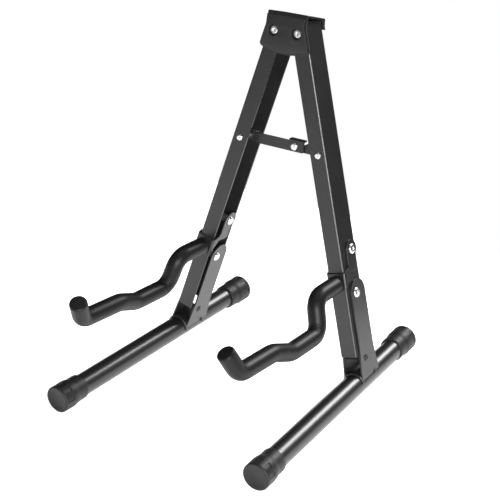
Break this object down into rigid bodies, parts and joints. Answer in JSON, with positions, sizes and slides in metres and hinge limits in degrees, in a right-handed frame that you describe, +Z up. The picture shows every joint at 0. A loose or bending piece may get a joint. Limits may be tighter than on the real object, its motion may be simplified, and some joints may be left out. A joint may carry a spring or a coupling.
{
  "type": "folding guitar stand",
  "caption": "Folding A-frame guitar stand: two channel-steel legs hinged at a padded bracket, folding brace, padded yoke arms and capped foot tubes that fold up.",
  "frame": {"origin": "on the floor, under the middle of the bounding box", "axes": "+Z up, -Y towards the player and the yoke arms, +X to the right as seen from the front"},
  "size_m": [0.2346, 0.277, 0.3292],
  "materials": {
    "satin_black": "satin black powder coat",
    "gloss_black": "semi-gloss black paint on drawn tube",
    "zinc": "bright zinc plate",
    "black_pin": "blackened steel",
    "foam_sleeve": "smooth black closed-cell foam",
    "soft_pad": "matte moulded rubber",
    "cap_rubber": "matte moulded rubber"
  },
  "bodies": {
    "top": {"top_bracket": "satin_black", "neck_pad": "soft_pad", "hinge_rivet_right": "zinc", "hinge_rivet_left": "zinc"},
    "leg_right": {"upper_leg_right": "satin_black", "brace_rivet_right": "zinc", "brace_spacers_right": "zinc", "yoke_rivet_right": "zinc", "yoke_spacer_right": "zinc"},
    "yoke_right": {"yoke_clip_right": "satin_black", "yoke_rod_right": "satin_black", "yoke_sleeve_right": "foam_sleeve"},
    "knee_right": {"knee_rivet_right": "zinc", "knee_spacer_right": "zinc"},
    "foot_right": {"lower_leg_right": "satin_black", "lock_pin_right": "black_pin", "foot_tube_right": "gloss_black", "front_foot_cap_right": "cap_rubber", "rear_foot_cap_right": "cap_rubber"},
    "leg_left": {"upper_leg_left": "satin_black", "brace_rivet_left": "zinc", "brace_spacers_left": "zinc", "yoke_rivet_left": "zinc", "yoke_spacer_left": "zinc"},
    "yoke_left": {"yoke_clip_left": "satin_black", "yoke_rod_left": "satin_black", "yoke_sleeve_left": "foam_sleeve"},
    "knee_left": {"knee_rivet_left": "zinc", "knee_spacer_left": "zinc"},
    "foot_left": {"lower_leg_left": "satin_black", "lock_pin_left": "black_pin", "foot_tube_left": "gloss_black", "front_foot_cap_left": "cap_rubber", "rear_foot_cap_left": "cap_rubber"},
    "long_brace": {"brace_long": "satin_black", "brace_stud": "zinc"},
    "short_brace": {"brace_short": "satin_black"}
  },
  "joints": [
    {"name": "right_leg_close", "type": "hinge", "parent": "top", "child": "leg_right", "pos_m": [0.0118, 0.08501, 0.31166], "axis": [0, 0.9921, -0.1253], "range_deg": [0, 13.5]},
    {"name": "right_lock_drop", "type": "slide", "parent": "leg_right", "child": "knee_right", "axis": [-0.2756, 0.1205, 0.9537], "range_m": [0, 0.006]},
    {"name": "right_knee_fold", "type": "hinge", "parent": "knee_right", "child": "foot_right", "pos_m": [0.076, 0.05695, 0.08954], "axis": [-0.9613, -0.0345, -0.2735], "range_deg": [0, 97.5]},
    {"name": "right_yoke_fold", "type": "hinge", "parent": "leg_right", "child": "yoke_right", "pos_m": [0.06516, 0.06466, 0.12665], "axis": [-0.9613, -0.0345, -0.2735], "range_deg": [0, 92.5]},
    {"name": "left_leg_close", "type": "hinge", "parent": "top", "child": "leg_left", "pos_m": [-0.0118, 0.08501, 0.31166], "axis": [0, -0.9921, 0.1253], "range_deg": [0, 13.5]},
    {"name": "left_lock_drop", "type": "slide", "parent": "leg_left", "child": "knee_left", "axis": [0.2756, 0.1205, 0.9537], "range_m": [0, 0.006]},
    {"name": "left_knee_fold", "type": "hinge", "parent": "knee_left", "child": "foot_left", "pos_m": [-0.076, 0.05695, 0.08954], "axis": [-0.9613, 0.0345, 0.2735], "range_deg": [0, 97.5]},
    {"name": "left_yoke_fold", "type": "hinge", "parent": "leg_left", "child": "yoke_left", "pos_m": [-0.06516, 0.06466, 0.12665], "axis": [-0.9613, 0.0345, 0.2735], "range_deg": [0, 92.5]},
    {"name": "long_brace_fold", "type": "hinge", "parent": "leg_left", "child": "long_brace", "pos_m": [-0.04107, 0.07222, 0.21038], "axis": [0, -0.9921, 0.1253], "range_deg": [0, 71]},
    {"name": "short_brace_fold", "type": "hinge", "parent": "leg_right", "child": "short_brace", "pos_m": [0.04107, 0.07222, 0.21038], "axis": [0, 0.9921, -0.1253], "range_deg": [0, 71]}
  ],
  "couplings": [
    {"joint": "right_yoke_fold", "follows": "right_knee_fold", "ratio": 0.94872},
    {"joint": "left_yoke_fold", "follows": "left_knee_fold", "ratio": 0.94872},
    {"joint": "left_leg_close", "follows": "right_leg_close", "ratio": 1},
    {"joint": "long_brace_fold", "follows": "right_leg_close", "ratio": 5.2593},
    {"joint": "short_brace_fold", "follows": "right_leg_close", "ratio": 5.2593}
  ]
}
